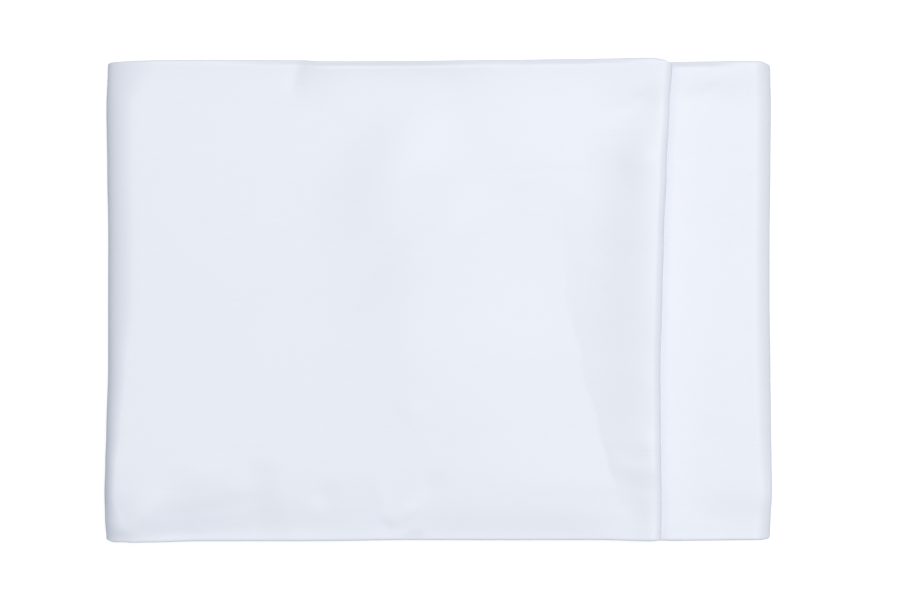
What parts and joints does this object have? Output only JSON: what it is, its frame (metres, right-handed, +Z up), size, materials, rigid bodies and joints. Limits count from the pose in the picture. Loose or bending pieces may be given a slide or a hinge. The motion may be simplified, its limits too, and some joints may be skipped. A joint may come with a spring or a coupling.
{
  "type": "folded fitted sheet",
  "caption": "White cotton fitted sheet folded into a flat packet: a broad top panel whose soft rounded fold stops short of the end, so a strip of the layer below shows beside it.",
  "frame": {"origin": "on the resting surface, under the middle of the packet's outline", "axes": "+X along the packet's length towards the end where the lower layer shows, +Y across it towards the back, +Z up"},
  "size_m": [0.3999, 0.2897, 0.0227],
  "materials": {
    "cloth": "plain woven white cotton, matt with a slight sheen"
  },
  "bodies": {
    "root": {"sheet": "cloth"}
  },
  "joints": []
}
